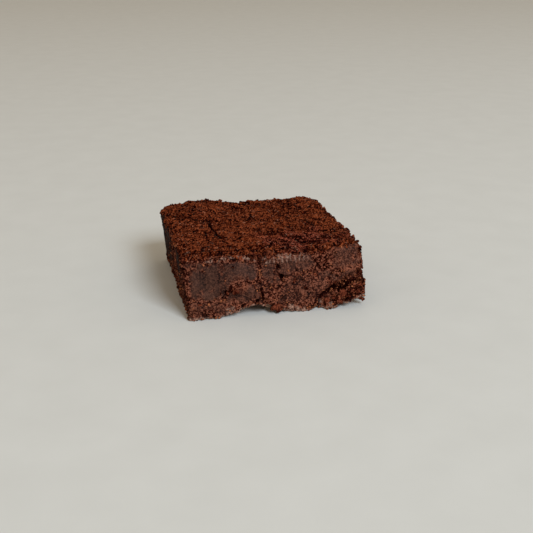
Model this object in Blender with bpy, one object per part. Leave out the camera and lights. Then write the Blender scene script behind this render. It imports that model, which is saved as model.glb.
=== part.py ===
"""A chocolate brownie: one square piece cut from a tray bake, as one solid.

Metres, +Z up. The origin is the middle of the base, on the surface that the piece rests on.
+X is to the right, and -Y is the front, the cut face with the torn lower corner.

The solid is a rounded box that is pushed out of true: the cut sides lean, the crust swells and
droops at its corners, the base lifts in an arch, and a tear runs up the right of the front.
"""

import bmesh
import bpy
import numpy as np

MM = 0.001

# Driving dimensions. The piece was cut by hand, so its crust and its foot differ a little.
CRUST_SIZE = (66.5 * MM, 62.7 * MM)  # along X and Y, at the top
FOOT_SIZE = (66.2 * MM, 65.7 * MM)  # along X and Y, at the base
HEIGHT = 23.5 * MM  # base to crust, before the crust's swells
CRUST_SHIFT = (-2.3 * MM, 1.9 * MM)  # the crust's middle, from the foot's: the cut sides lean
BACK_SHIFT = -0.7 * MM  # along X, the back's middle from the front's: the corners aren't square
EDGE_RADIUS = 1.5 * MM

# A knife leaves its faces a little wavy.
WAVE_HEIGHT = 0.35 * MM
WAVE_LENGTH = 23 * MM

# Swells of the crust: centre x and y, height, and the spread along x and y, in mm.
CRUST_SWELLS = (
    (-18, 28, 2.1, 14, 20),  # the high back left
    (26, 26, 0.8, 9, 17),  # the high back right
    (-20, -27, 0.6, 12, 14),  # behind the smooth stretch of the front
    (27, -26, 1.2, 10, 12),  # over the torn corner
    (-7, -31, -1.5, 8, 10),  # the dip where the front's seam meets the crust
    (12, -30, -1.2, 10, 10),  # the long dip to its right
    (0, 4, -0.6, 20, 20),  # the sunk middle
    (-34, 33, -1.4, 7, 8),  # three corners droop
    (34, 33, -1.3, 6, 7),
    (-34, -33, -1.2, 6, 7),
)

# Where the base lifts off the surface under it: the same five values.
BASE_LIFTS = (
    (-8.6, -33, 4.2, 8, 13),  # the arch under the front
    (33.6, -33, 4.6, 8, 10),  # under the torn corner
    (10, 33, 1.4, 9, 6),  # smaller ones at the back and the sides
    (-33, 8, 1.2, 6, 10),
    (34, 14, 1.3, 6, 8),
)
LIFT_STARTS = 0.25 * MM  # a lift lower than this is pressed flat

# Low forms of the front face: centre x and z, height outwards, and spread along x and z, in mm.
FRONT_FORMS = (
    (-18, 11, 0.7, 15, 12),  # the smooth stretch on the left stands out
    (8, 15, 0.5, 9, 7),  # the ribbed stretch right of the seam
    (27, 4, 1.0, 7, 4),  # the lump below the tear
)
# The tear's way up the front from the base to the right edge: x and z, in mm.
TEAR_ROUTE = ((16.5, -1), (18.5, 5), (22, 7.6), (26, 9.2), (30, 10.8), (35, 12.5))
TEAR_DEPTH = 2.2 * MM
TEAR_WIDTH = 2.4 * MM
FRONT_FORMS_REACH = 9 * MM  # how far behind the front face its forms fade out

# The grid of the solid's faces.
CELLS = (46, 32, 16)
EDGE_CROWDING = 0.35  # 0 spaces the grid evenly; more draws its lines towards the edges


def smooth_step(t):
    """0 below 0, 1 above 1, and an even S between."""
    t = np.clip(t, 0, 1)
    return t * t * (3 - 2 * t)


def hill(a, b, centre_a, centre_b, spread_a, spread_b):
    """A round hill, 1 at its centre and 1/e at one spread away."""
    return np.exp(-(((a - centre_a) / spread_a) ** 2) - ((b - centre_b) / spread_b) ** 2)


def hills(a, b, table):
    """The sum of a table of hills, in metres."""
    total = np.zeros_like(a)
    for centre_a, centre_b, height, spread_a, spread_b in np.array(table) * MM:
        total += height * hill(a, b, centre_a, centre_b, spread_a, spread_b)
    return total


def distance_to_route(a, b, route):
    """The distance from each point to a line through the points of route."""
    nearest = np.full_like(a, np.inf)
    corners = np.array(route) * MM
    for start, end in zip(corners[:-1], corners[1:]):
        along = end - start
        share = ((a - start[0]) * along[0] + (b - start[1]) * along[1]) / (along @ along)
        share = np.clip(share, 0, 1)
        gap = np.hypot(a - start[0] - share * along[0], b - start[1] - share * along[1])
        nearest = np.minimum(nearest, gap)
    return nearest


def wave(a, b, phase):
    """A knife's low wave over a cut face."""
    turn = 2 * np.pi / WAVE_LENGTH
    return WAVE_HEIGHT * np.sin(a * turn + phase) * np.cos(b * turn * 0.7 + 2.1 * phase)


def base_lift(x, y):
    """How high the base stands above the surface under it."""
    lift = hills(x, y, BASE_LIFTS)
    return np.where(lift > LIFT_STARTS, lift - LIFT_STARTS, 0.0)


def front_relief(x, z):
    """How far the front face stands out from its plane."""
    tear = TEAR_DEPTH * np.exp(-((distance_to_route(x, z, TEAR_ROUTE) / TEAR_WIDTH) ** 2))
    return hills(x, z, FRONT_FORMS) - tear


def rounded(points):
    """The nominal box with its edges rounded: each point is drawn to EDGE_RADIUS from an inner box."""
    half = np.array((*FOOT_SIZE, HEIGHT)) / 2
    middle = np.array((0, 0, HEIGHT / 2))
    inner = np.clip(points - middle, EDGE_RADIUS - half, half - EDGE_RADIUS)
    outward = points - middle - inner
    outward *= EDGE_RADIUS / np.linalg.norm(outward, axis=1, keepdims=True)
    return middle + inner + outward


def pushed_out_of_true(points):
    """The rounded box's points moved to the brownie's own shape.

    A point's share of the right side, say, grows from 0 at the left side to 1 at the right one,
    and it follows each side's own moves by that share.
    """
    x, y, z = points.T
    right = np.clip(x / FOOT_SIZE[0] + 0.5, 0, 1)
    back = np.clip(y / FOOT_SIZE[1] + 0.5, 0, 1)
    high = np.clip(z / HEIGHT, 0, 1)
    left, front, low = 1 - right, 1 - back, 1 - high
    at_front = smooth_step(1 - (y + FOOT_SIZE[1] / 2) / FRONT_FORMS_REACH)
    new_x = x + high * (CRUST_SHIFT[0] + x * (CRUST_SIZE[0] / FOOT_SIZE[0] - 1)) + back * BACK_SHIFT
    new_x += right * wave(y, z, 0.4) - left * wave(y, z, 1.9)
    new_y = y + high * (CRUST_SHIFT[1] + y * (CRUST_SIZE[1] / FOOT_SIZE[1] - 1))
    new_y += back * wave(x, z, 2.7) - front * wave(x, z, 0.9) - at_front * front_relief(x, z)
    new_z = z + high * hills(x, y, CRUST_SWELLS) + low * base_lift(x, y)
    return np.stack((new_x, new_y, new_z), axis=1)


def grid_box():
    """A cube whose edges along X, Y and Z are cut into CELLS, crowded towards its edges."""
    bm = bmesh.new()
    bmesh.ops.create_cube(bm, size=2)
    for axis, cells in enumerate(CELLS):
        along = [e for e in bm.edges if abs(e.verts[0].co[axis] - e.verts[1].co[axis]) > 1e-6]
        bmesh.ops.subdivide_edges(bm, edges=along, cuts=cells - 1, use_grid_fill=True)
    return bm


def place(bm):
    """Moves the grid box's points onto the brownie."""
    cube = np.array([vert.co[:] for vert in bm.verts])
    crowded = (1 - EDGE_CROWDING) * cube + EDGE_CROWDING * np.sin(cube * np.pi / 2)
    box = (crowded + (0, 0, 1)) * (*FOOT_SIZE, HEIGHT) / 2
    shaped = pushed_out_of_true(rounded(box))
    lowest, highest = shaped.min(axis=0), shaped.max(axis=0)
    origin = (*(lowest + highest)[:2] / 2, lowest[2])
    for vert, point in zip(bm.verts, shaped - origin):
        vert.co = point


def chocolate():
    """Baked chocolate crumb: dark, warm and dull."""
    material = bpy.data.materials.new("chocolate_crumb")
    material.use_nodes = True
    shader = material.node_tree.nodes["Principled BSDF"]
    shader.inputs["Base Color"].default_value = (0.075, 0.025, 0.014, 1)
    shader.inputs["Roughness"].default_value = 0.75
    shader.inputs["Metallic"].default_value = 0.0
    return material


def make_brownie(collection):
    bm = grid_box()
    place(bm)
    flat = [f for f in bm.faces if all(vert.co.z < 1e-7 for vert in f.verts)]
    bmesh.ops.dissolve_faces(bm, faces=flat)
    mesh = bpy.data.meshes.new("brownie")
    bm.to_mesh(mesh)
    bm.free()
    mesh.materials.append(chocolate())
    mesh.shade_smooth()
    brownie = bpy.data.objects.new("brownie", mesh)
    collection.objects.link(brownie)
    return brownie


def main():
    for old in list(bpy.data.objects):
        bpy.data.objects.remove(old)
    collection = bpy.data.collections.new("chocolate_brownie")
    bpy.context.scene.collection.children.link(collection)
    make_brownie(collection)


main()
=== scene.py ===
# %% [markdown]
# # A chocolate brownie
# One square piece from a tray bake. Three skins make it: the crumb that the knife opened on four
# sides, the browned crust on top, and the paler skin that lay on the tin. Crumbs, rubble and
# clods cling to the sides and the crust. The solid model gives the size and the low forms, and
# this file adds the surface.

import bpy
import numpy as np
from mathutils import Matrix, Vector


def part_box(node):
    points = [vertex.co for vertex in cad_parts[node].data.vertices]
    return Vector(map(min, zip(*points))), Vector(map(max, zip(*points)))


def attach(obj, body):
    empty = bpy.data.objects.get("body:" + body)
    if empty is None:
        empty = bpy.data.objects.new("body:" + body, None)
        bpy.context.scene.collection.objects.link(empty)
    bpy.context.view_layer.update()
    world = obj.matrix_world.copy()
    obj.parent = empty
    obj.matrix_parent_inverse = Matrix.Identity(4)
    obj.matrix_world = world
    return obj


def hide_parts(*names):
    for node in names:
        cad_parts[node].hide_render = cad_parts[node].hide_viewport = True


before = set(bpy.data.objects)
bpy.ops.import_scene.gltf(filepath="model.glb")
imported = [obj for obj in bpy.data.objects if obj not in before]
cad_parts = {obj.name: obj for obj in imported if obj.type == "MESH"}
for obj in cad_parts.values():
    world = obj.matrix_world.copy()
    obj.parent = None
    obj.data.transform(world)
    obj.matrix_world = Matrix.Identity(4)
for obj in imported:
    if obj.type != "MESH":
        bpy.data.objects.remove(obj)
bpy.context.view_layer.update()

piece_low, piece_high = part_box("brownie")
print("solid, m:", [round(high - low, 4) for low, high in zip(piece_low, piece_high)])

# %% [markdown]
# ## The brownie's own shape
# A hand-cut piece is a box pushed out of true. Its cut sides lean, its crust swells, and its base
# lifts off in an arch. It could be sculpted, but the solid was made by a rule on a coarse grid.
# The same rule is worked out here for any number of points, so the fine skins lie where the
# solid's faces do. Only the tear is narrower. Everything is in millimetres until a mesh is made.

# %% Sizes and forms
MM = 0.001
CRUST_SIZE = (66.5, 62.7)
FOOT_SIZE = (66.2, 65.7)
HEIGHT = 23.5
CRUST_SHIFT = (-2.3, 1.9)
BACK_SHIFT = -0.7
EDGE_RADIUS = 1.5
WAVE_HEIGHT = 0.35
WAVE_LENGTH = 23
CRUST_SWELLS = (
    # x, y, height and the spreads along x and y
    (-18, 28, 2.1, 14, 20),
    (26, 26, 0.8, 9, 17),
    (-20, -27, 0.6, 12, 14),
    (27, -26, 1.2, 10, 12),
    (-7, -31, -1.5, 8, 10),
    (12, -30, -1.2, 10, 10),
    (0, 4, -0.6, 20, 20),
    (-34, 33, -1.4, 7, 8),
    (34, 33, -1.3, 6, 7),
    (-34, -33, -1.2, 6, 7),
)
BASE_LIFTS = (
    (-8.6, -33, 4.2, 8, 13),
    (33.6, -33, 4.6, 8, 10),
    (10, 33, 1.4, 9, 6),
    (-33, 8, 1.2, 6, 10),
    (34, 14, 1.3, 6, 8),
)
LIFT_STARTS = 0.25  # a lift lower than this is pressed flat
FRONT_FORMS = ((-18, 11, 0.7, 15, 12), (8, 15, 0.5, 9, 7), (27, 4, 1.0, 7, 4))  # along x and z
TEAR_ROUTE = ((15.6, -1), (16.6, 3.9), (19.4, 6.2), (22.2, 7.6), (26.6, 8.9), (35, 11.5))
TEAR_DEPTH = 1.9
TEAR_WIDTH = 1.3  # narrower than the solid's, whose grid is too coarse for a crevice
FRONT_FORMS_REACH = 9  # how far behind the front face its forms fade out
print("crust and foot, mm:", CRUST_SIZE, FOOT_SIZE)

# %% [markdown]
# ## Steps, hills, grooves and spots
# Four small shapes make nearly every form that has a place of its own: a soft step, a round hill,
# a groove along a route, and a spot with steep walls. They could be painted on a picture, but a
# formula is as fine as the mesh. Each takes whole arrays of coordinates.

# %% The small shapes
def smooth_step(t):
    """0 below 0, 1 above 1, and between them t * t * (3 - 2 t)."""
    t = np.clip(t, 0, 1)
    return t * t * (3 - 2 * t)


def above(values, start, width):
    """A smooth step of (values - start) / width: 0 up to start, and 1 from start + width on."""
    return smooth_step((values - start) / width)


def hill(a, b, centre_a, centre_b, spread_a, spread_b):
    """exp(-(da / spread_a)^2 - (db / spread_b)^2): 1 at the centre, 1/e at one spread."""
    return np.exp(-(((a - centre_a) / spread_a) ** 2) - ((b - centre_b) / spread_b) ** 2)


def hills(a, b, table):
    """The sum of height * hill over a table of hills."""
    return sum(h * hill(a, b, ca, cb, sa, sb) for ca, cb, h, sa, sb in table)


def distance_to_route(a, b, route):
    """The distance from each point to the nearest of the straight runs between route's points."""
    nearest = np.full(np.shape(a), np.inf)
    corners = np.array(route, float)
    for start, end in zip(corners[:-1], corners[1:]):
        along = end - start
        share = ((a - start[0]) * along[0] + (b - start[1]) * along[1]) / (along @ along)
        share = np.clip(share, 0, 1)
        gap = np.hypot(a - start[0] - share * along[0], b - start[1] - share * along[1])
        nearest = np.minimum(nearest, gap)
    return nearest


def groove(a, b, route, width):
    """exp(-(distance to the route / width)^2): 1 along the route."""
    return np.exp(-((distance_to_route(a, b, route) / width) ** 2))


def spots(a, b, table):
    """The sum of exp(-(distance / radius)^4) over a table of a, b and radius: flat, then steep."""
    return sum(np.exp(-((np.hypot(a - ca, b - cb) / radius) ** 4)) for ca, cb, radius in table)


print("smooth steps:", smooth_step(np.array((0.25, 0.5, 0.75))))

# %% [markdown]
# ## The rule
# The sides could be moved one by one, but then they would part at the edges. Instead a point of a
# rounded box has a share of each side, from 0 at the far side to 1 at the near one, and follows
# that side's own moves by that share.

# %% Pushing the box out of true
def wave(a, b, phase):
    """The knife's low wave: WAVE_HEIGHT * sin(turn a + phase) * cos(0.7 turn b + 2.1 phase)."""
    turn = 2 * np.pi / WAVE_LENGTH
    return WAVE_HEIGHT * np.sin(a * turn + phase) * np.cos(b * turn * 0.7 + 2.1 * phase)


def base_lift(x, y):
    """How high the base stands off: the lifts' sum above LIFT_STARTS, and 0 below it."""
    return np.maximum(hills(x, y, BASE_LIFTS) - LIFT_STARTS, 0)


def front_relief(x, z):
    """How far the front stands out: its hills, less a groove along the tear."""
    return hills(x, z, FRONT_FORMS) - TEAR_DEPTH * groove(x, z, TEAR_ROUTE, TEAR_WIDTH)


def rounded(points):
    """A box with rounded edges: each point is put EDGE_RADIUS away from an inner box's nearest."""
    half = np.array((*FOOT_SIZE, HEIGHT)) / 2
    middle = np.array((0, 0, HEIGHT / 2))
    inner = np.clip(points - middle, EDGE_RADIUS - half, half - EDGE_RADIUS)
    outward = points - middle - inner
    length = np.linalg.norm(outward, axis=-1, keepdims=True)
    outward *= EDGE_RADIUS / np.maximum(length, 1e-9)  # a pole inside the inner box stays there
    return middle + inner + outward


def pushed_out_of_true(points):
    """Each point moved by each side's own move times its share of that side."""
    x, y, z = np.moveaxis(points, -1, 0)
    right = np.clip(x / FOOT_SIZE[0] + 0.5, 0, 1)
    back = np.clip(y / FOOT_SIZE[1] + 0.5, 0, 1)
    high = np.clip(z / HEIGHT, 0, 1)
    left, front, low = 1 - right, 1 - back, 1 - high
    at_front = smooth_step(1 - (y + FOOT_SIZE[1] / 2) / FRONT_FORMS_REACH)
    new_x = x + high * (CRUST_SHIFT[0] + x * (CRUST_SIZE[0] / FOOT_SIZE[0] - 1)) + back * BACK_SHIFT
    new_x += right * wave(y, z, 0.4) - left * wave(y, z, 1.9)
    new_y = y + high * (CRUST_SHIFT[1] + y * (CRUST_SIZE[1] / FOOT_SIZE[1] - 1))
    new_y += back * wave(x, z, 2.7) - front * wave(x, z, 0.9) - at_front * front_relief(x, z)
    new_z = z + high * hills(x, y, CRUST_SWELLS) + low * base_lift(x, y)
    return np.stack((new_x, new_y, new_z), axis=-1)


def brownie_form(cube):
    """Points of a cube of half width 1, moved onto the brownie, before its origin is set."""
    box = (cube + (0, 0, 1)) * (*FOOT_SIZE, HEIGHT) / 2
    return pushed_out_of_true(rounded(box))


print("front right foot corner, mm:", brownie_form(np.array(((1, -1, -1),))).round(1)[0])

# %% [markdown]
# ## Grids on a cube
# Each skin is a grid of two parameters on a cube, which the brownie's rule then bends. One skin
# over everything would be simpler, but crust and crumb need grids and finishes of their own. The
# sides are rings: one parameter goes round, the other goes up. Shrunken rings and a pole at each
# end close them on the inside, so that they are a solid piece.

# %% Rings and fans
def square_ring(around):
    """Round a square of half width 1, from the front left corner, as (x, y): around goes 0 to 1."""
    side, along = np.divmod(np.asarray(around) * 4, 1)
    along = 2 * along - 1
    one = np.ones_like(along)
    x = np.choose(side.astype(int) % 4, (along, one, -along, -one))
    y = np.choose(side.astype(int) % 4, (-one, along, one, -along))
    return np.stack((x, y), axis=-1)


def ring_faces(rings, count):
    """Quads between rings of count points each, listed from the lowest ring."""
    ring, place = np.meshgrid(np.arange(rings - 1), np.arange(count), indexing="ij")
    here, after = ring * count + place, ring * count + (place + 1) % count
    return np.stack((here, after, after + count, here + count), axis=-1).reshape(-1, 4)


def fan_faces(loop, pole, upward):
    """Triangles from a closed loop of points to one pole, facing up or down."""
    after = np.roll(loop, -1)
    pair = (loop, after) if upward else (after, loop)
    return np.stack((*pair, np.full(len(loop), pole)), axis=-1)


def closed_faces(rings, count):
    """Rings closed by a pole at each end: the lower and the upper pole are the last two points."""
    last = rings * count
    lower = fan_faces(np.arange(count), last, upward=False)
    upper = fan_faces(np.arange(last - count, last), last + 1, upward=True)
    return [ring_faces(rings, count), lower, upper]


print("a ring of four:", square_ring(np.arange(4) / 4).tolist())

# %% The grid of the sides
AROUND = 960  # points round a ring, a multiple of 4
UP = 86  # rings from the base edge to the crust edge
INWARD = (0.3, 0.7, 0.9, 0.97)  # sizes of the shrunken rings that close base and top


def side_grid():
    """The four sides as rings on the cube, closed over base and top by shrunken rings and poles."""
    inward = np.array(INWARD)
    scale = np.concatenate((inward, np.ones(UP + 1), inward[::-1]))
    level = np.concatenate((-np.ones(len(inward)), np.linspace(-1, 1, UP + 1), np.ones(len(inward))))
    flat = scale[:, None, None] * square_ring(np.arange(AROUND) / AROUND)[None]
    points = np.concatenate((flat, np.broadcast_to(level[:, None, None], (*flat.shape[:2], 1))), 2)
    points = np.concatenate((points.reshape(-1, 3), ((0, 0, -1), (0, 0, 1))))
    return points, closed_faces(len(scale), AROUND)


side_cube, side_faces = side_grid()
print("the sides' points:", len(side_cube))

# %% The sides before their relief
side_form = brownie_form(side_cube)
form_low, form_high = side_form.min(axis=0), side_form.max(axis=0)
FORM_ORIGIN = np.array((*(form_low + form_high)[:2] / 2, form_low[2]))
solid_size = (np.array(piece_high) - piece_low) / MM
print("sides larger than the solid by, mm:", np.round(form_high - form_low - solid_size, 2))

# %% [markdown]
# ## Noise
# Cake is uneven in three dimensions. A flat pattern wrapped round it would stretch and show seams,
# so the unevenness is worked out at points in space. Clouds give soft swells, and lumps give
# packed round grains with creases between them. In each call the size is in mm, and the seed is a
# number of its own, so that no two unevennesses follow each other.

# %% Clouds
def scrambled(cells, seed):
    """A number from 0 to 1 for each triple of whole numbers: multiplied by odd primes and mixed."""
    x, y, z = (np.moveaxis(cells, -1, 0).astype(np.int64) & 0xFFFFFFFF).astype(np.uint32)
    mixed = x * np.uint32(0x8DA6B343) ^ y * np.uint32(0xD8163841) ^ z * np.uint32(0xCB1AB31F)
    mixed = mixed + np.uint32(seed * 0x9E3779B1 & 0xFFFFFFFF)
    for shift, factor in ((15, 0x2C1B3C6D), (12, 0x297A2D39), (15, 0x5851F42D)):
        mixed = (mixed ^ (mixed >> np.uint32(shift))) * np.uint32(factor)
    return (mixed ^ (mixed >> np.uint32(16))) / 2.0**32


def cloud(points, size, seed):
    """Soft noise from -1 to 1: random corner values of cubes of that size, blended by smooth_step."""
    scaled = points / size
    cell = np.floor(scaled)
    share = smooth_step(scaled - cell)
    total = np.zeros(len(points))
    for corner in np.ndindex(2, 2, 2):
        weight = np.prod(np.where(corner, share, 1 - share), axis=1)
        total += weight * scrambled(cell + corner, seed)
    return 2 * total - 1


def clouds(points, size, seed, octaves=3):
    """Clouds of size, size / 2 and so on, each half as strong as the last, scaled to about 1."""
    shares = 0.5 ** np.arange(octaves)
    layers = [share * cloud(points, size * share, seed + k) for k, share in enumerate(shares)]
    return sum(layers) / shares.sum() * 1.5


def warped(points, size, reach, seed):
    """The points moved by up to reach along each axis by clouds, so that no grid shows."""
    moves = [cloud(points, size, seed + axis) for axis in range(3)]
    return points + reach * np.stack(moves, axis=-1)


sample = clouds(side_form[::97], 5, 1)
print("clouds, lowest and highest:", np.round((sample.min(), sample.max()), 2))

# %% Packed grains
def lumps(points, size, seed):
    """Packed grains of that size, as (dome, tone).

    Each cube of space holds one centre at a random place. With f the distance to the nearest, in
    sizes, dome is sqrt(1 - (f / 0.85)^2), and tone is the nearest grain's own random number.
    """
    scaled = points / size
    cell = np.floor(scaled)
    nearest, tone = np.full(len(points), 9.0), np.zeros(len(points))
    for offset in np.ndindex(3, 3, 3):
        there = cell + offset - 1
        centre = there + np.stack([scrambled(there, seed + axis) for axis in range(3)], axis=-1)
        gap = np.linalg.norm(centre - scaled, axis=1)
        nearer = gap < nearest
        tone = np.where(nearer, scrambled(there, seed + 3), tone)
        nearest = np.where(nearer, gap, nearest)
    return np.sqrt(np.clip(1 - (nearest / 0.85) ** 2, 0, 1)), tone


print("lumps' mean dome and tone:", [v.mean().round(2) for v in lumps(side_form[::97], 2, 1)])

# %% [markdown]
# ## From points to a mesh
# A mesh can be built point by point, but handing Blender whole arrays is hundreds of times
# faster. Blender then gives each point's outward direction, and the relief moves each point that
# far outwards. What the finish needs to know about a place, such as how deep it lies, goes with
# the mesh as attributes.

# %% Making a mesh
def set_points(mesh, points):
    """Puts the mesh's points at these places in mm."""
    mesh.vertices.foreach_set("co", (points * MM).astype(np.float32).ravel())
    mesh.update()


def new_mesh(name, points, faces):
    """A smooth mesh from points in mm, with each group of faces as rows of point numbers."""
    mesh = bpy.data.meshes.new(name)
    corners = np.concatenate([group.ravel() for group in faces]).astype(np.int32)
    sizes = np.concatenate([np.full(len(group), group.shape[1]) for group in faces])
    starts = np.concatenate(((0,), np.cumsum(sizes)[:-1])).astype(np.int32)
    mesh.vertices.add(len(points))
    set_points(mesh, points)
    mesh.loops.add(len(corners))
    mesh.loops.foreach_set("vertex_index", corners)
    mesh.polygons.add(len(sizes))
    mesh.polygons.foreach_set("loop_start", starts)
    mesh.update(calc_edges=True)
    mesh.validate()
    mesh.shade_smooth()
    print(f"{name}: {len(points)} points")
    return mesh


def outward_of(mesh):
    """Each point's outward direction, which Blender averages from the faces round it."""
    outward = np.empty(len(mesh.vertices) * 3, np.float32)
    mesh.vertex_normals.foreach_get("vector", outward)
    return outward.reshape(-1, 3).astype(float)


# %% Notes for the finish
def evened(values, spread):
    """The values moved and scaled to a mean of 0.5 and that spread, and held between 0 and 1."""
    return np.clip(0.5 + spread * (values - values.mean()) / values.std(), 0, 1)


def note(mesh, **values):
    """Stores each array as an attribute of the points, under its own name."""
    for name, array in values.items():
        attribute = mesh.attributes.new(name, "FLOAT", "POINT")
        attribute.data.foreach_set("value", np.asarray(array, np.float32))
    print(f"{mesh.name} means:", {name: round(float(np.mean(a)), 2) for name, a in values.items()})


# %% A piece of the brownie
def add_piece(mesh, material):
    """Puts the mesh in the scene under its own name, as a piece of crumb that rides on the body."""
    piece = bpy.data.objects.new(mesh.name, mesh)
    bpy.context.scene.collection.objects.link(piece)
    mesh.materials.append(material)
    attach(piece, "root")
    triangles = sum(len(polygon.vertices) - 2 for polygon in mesh.polygons)
    print(f"{mesh.name}: {triangles} triangles")
    return piece


# %% [markdown]
# ## What the knife left
# A knife drags soft fudge along and leaves smooth, greyer patches, and between them the crumb
# breaks open. The patches could be painted by hand. Here each is a soft rectangle whose outline
# clouds shake, so that it frays as fudge does. On the front their places are chosen, and on the
# other sides a cloud decides.

# %% The smears
SMEARS = (
    # middle x and z, half width and half height, how complete
    (-24.8, 14.2, 5.6, 5.4, 1.0),
    (-11.2, 17.0, 5.0, 2.8, 0.95),
    (26.8, 20.4, 4.4, 4.4, 0.65),
    (-11.0, 8.4, 5.5, 2.6, 0.8),
    (25.0, 12.4, 6.5, 1.3, 0.75),
    (-25.0, 4.6, 7.0, 2.2, 0.45),
    (6.5, 18.6, 7.5, 3.0, 0.7),
    (-1.6, 15.0, 2.0, 5.0, 0.75),
    (11.5, 9.0, 9.0, 5.0, 0.4),
    (-18.0, 13.5, 3.0, 5.5, 0.85),
)
SMEAR_SOFTNESS = 2.6
CORNER_REACH = 2.5  # how far round a corner the front's marks reach
UPRIGHT = (1, 1, 0.5)  # a cloud squeezed by this looks drawn out in height


def box_mask(a, b, middle_a, middle_b, half_a, half_b, softness):
    """1 well inside a rectangle and 0 well outside: a smooth step over softness at its outline."""
    outside = np.maximum(np.abs(a - middle_a) - half_a, np.abs(b - middle_b) - half_b)
    return smooth_step(0.5 - outside / softness)


def front_share(cube):
    """1 on the front, and a smooth step to 0 over CORNER_REACH behind it."""
    behind = (cube[:, 1] + 1) * FOOT_SIZE[1] / 2
    return smooth_step(1 - behind / CORNER_REACH)


def smear_mask(points, cube):
    """How smooth the knife left each point, 0 to 1.

    On the front it is the fullest of the patches there, elsewhere a wide cloud, and in both a
    finer cloud breaks it up.
    """
    front = front_share(cube)
    shaken = warped(warped(points, 4.0, 2.2, 40), 1.3, 1.1, 43)
    x, _, z = np.moveaxis(shaken, -1, 0)
    patches = [share * box_mask(x, z, *patch, SMEAR_SOFTNESS) for *patch, share in SMEARS]
    patches = np.max(patches, axis=0) * smooth_step(1.75 - 1.7 * clouds(points * UPRIGHT, 1.8, 46))
    elsewhere = smooth_step(0.5 + 1.8 * clouds(shaken * (1, 1, 0.7), 12, 50))
    elsewhere *= smooth_step(1.5 - 1.7 * clouds(points * UPRIGHT, 1.8, 53))
    return front * patches + (1 - front) * elsewhere


side_points = side_form - FORM_ORIGIN
at_front = front_share(side_cube)
smear = smear_mask(side_points, side_cube)
print("smeared share of the front:", round(float(smear[at_front == 1].mean()), 2))

# %% [markdown]
# ## Torn crumb and smeared fudge
# Torn crumb is grains on grains: coarse clumps, finer grains on them, and pits where a bubble was
# cut, coloured near black as painted shade. A bump in the material could fake it, but real
# relief also shows at the outline.
# In some places the crumb broke wide open, and in others it stayed compact. The smears keep only
# faint lines along the knife's way.

# %% Torn crumb
TONE_SHARES = (0.1, 0.25, 0.65)  # the finest grains decide most of the colour


def grains_on_grains(points, sizes, seed):
    """The domes of coarse, medium and fine lumps, and their tones added by TONE_SHARES."""
    layers = [lumps(points, size, seed + 4 * k) for k, size in enumerate(sizes)]
    domes, tones = zip(*layers)
    return *domes, sum(share * tone for share, tone in zip(TONE_SHARES, tones))


def torn_relief(points):
    """Height of torn crumb in mm, about 0 on average, with its pits and each grain's tone.

    It is the grains' domes and a low swell, less the pits, which open where a cloud is highest.
    A wide cloud says how far the crumb broke open, and makes grains and pits there stronger.
    """
    shaken = warped(warped(points, 2.6, 0.8, 57), 0.9, 0.4, 60)
    wide = smooth_step(0.5 + 1.2 * clouds(points, 7, 55))
    coarse, medium, fine, tone = grains_on_grains(shaken, (2.2, 1.1, 0.62), 61)
    height = (0.08 + 0.26 * wide) * coarse + (0.2 + 0.2 * wide) * medium + 0.34 * fine
    height += 0.35 * clouds(points, 6, 73) - 0.46 - 0.2 * wide
    pits = above(clouds(shaken, 1.1, 76, 2), 0.72 - 0.2 * wide, 0.28)
    return height - (0.4 + 0.6 * wide) * pits, pits, tone


torn, pits, tone = torn_relief(side_points)
print("torn crumb, mm, lowest and highest:", np.round((torn.min(), torn.max()), 2))


# %% Smeared fudge
def drag_lines(points):
    """Lines along the knife's way, up and down: a cloud drawn out eight times in height."""
    return clouds(points * (1, 1, 0.12), 0.9, 80, 2)


def dragged_relief(points):
    """Height of smeared fudge in mm: the drag lines, a low swell and a fine unevenness."""
    swell = 0.14 * clouds(points, 4, 81)
    return 0.1 * drag_lines(points) + swell + 0.06 * cloud(points, 0.6, 85)


dragged = dragged_relief(side_points)
print("smeared fudge, mm, lowest and highest:", np.round((dragged.min(), dragged.max()), 2))

# %% [markdown]
# ## The front's own marks
# A seam runs up the front where two drags meet, ribs stand under the crust where the blade
# chattered, a few bubbles left holes, and the tear opens into a crevice. Seam, holes and crevice
# are also darkened in colour as painted shade, and the ribs' crests get painted highlights. Each
# has its own place, so each is a groove, a spot or a wave there, and clouds shake them all a
# little.

# %% Marks that are cut in
SEAM = ((-5.6, 21), (-5.0, 17), (-5.6, 12), (-4.4, 8), (-4.9, 4.5))  # x and z
SEAM_DEPTH, SEAM_WIDTH = 0.65, 0.55
HOLES = (
    # x, z and radius
    (1.3, 17.7, 1.0),
    (2.4, 13.6, 0.8),
    (-17.6, 9.2, 0.7),
    (-6.9, 6.0, 0.6),
    (18.5, 16.5, 0.5),
)
HOLE_DEPTH = 1.5
CREVICE_DEPTH, CREVICE_WIDTH = 1.6, 0.6
TORN_WIDTH = 2.0  # how far beside the tear the crumb is rougher


def cut_marks(points):
    """How deep the seam, holes and crevice go in mm, and a groove that says how near the tear is."""
    x, _, z = np.moveaxis(warped(points, 2.0, 0.6, 90), -1, 0)
    seam = SEAM_DEPTH * groove(x, z, SEAM, SEAM_WIDTH)
    seam *= smooth_step(0.6 + 1.6 * clouds(points, 2.5, 91, 2))
    crevice = CREVICE_DEPTH * groove(x, z, TEAR_ROUTE, CREVICE_WIDTH) * above(x, 13.5, 3)
    beside = groove(x, z, TEAR_ROUTE, TORN_WIDTH) * above(x, 13, 4)
    return seam + HOLE_DEPTH * spots(x, z, HOLES) + crevice, beside


marks, beside_tear = cut_marks(side_points)
marks *= at_front
beside_tear *= at_front
print("deepest mark, mm:", round(float(marks.max()), 2))
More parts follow.
